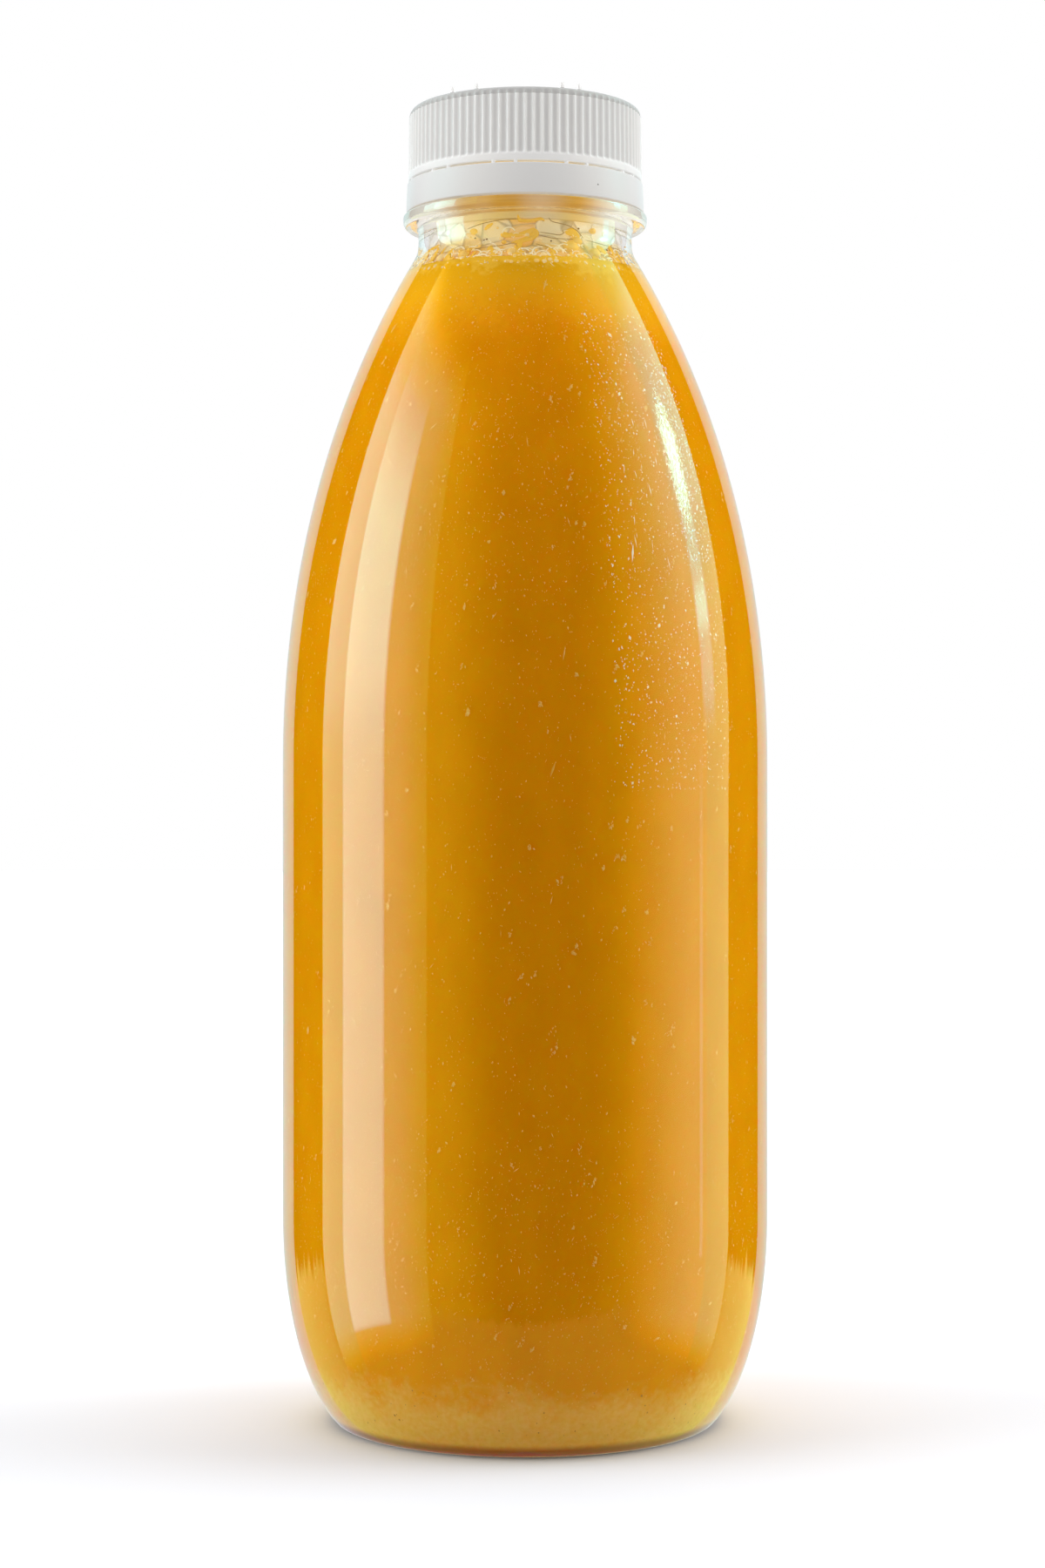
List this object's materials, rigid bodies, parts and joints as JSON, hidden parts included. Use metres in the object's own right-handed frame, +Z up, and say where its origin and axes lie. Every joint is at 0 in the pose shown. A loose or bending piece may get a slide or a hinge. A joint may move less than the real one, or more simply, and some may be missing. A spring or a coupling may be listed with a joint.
{
  "type": "bottle of cloudy amber tonic drink",
  "caption": "Shut clear plastic bottle with a long rounded shoulder, full of cloudy amber drink with froth in the neck, under a ribbed white screw cap.",
  "frame": {"origin": "middle of the ring the bottle stands on, on the floor", "axes": "+Z up along the bottle's axis, towards the cap; the picture looks along +Y"},
  "size_m": [0.0848, 0.0848, 0.229],
  "materials": {
    "clear_plastic": "clear blow-moulded plastic, glossy",
    "amber_drink": "cloudy amber liquid with fine pulp, paler settled pulp at the bottom",
    "pale_froth": "thin wet bubble films with amber smears",
    "white_plastic": "white injection-moulded plastic, satin, slightly translucent"
  },
  "bodies": {
    "root": {"bottle": "clear_plastic", "drink": "amber_drink", "froth": "pale_froth", "screw_cap": "white_plastic"}
  },
  "joints": []
}
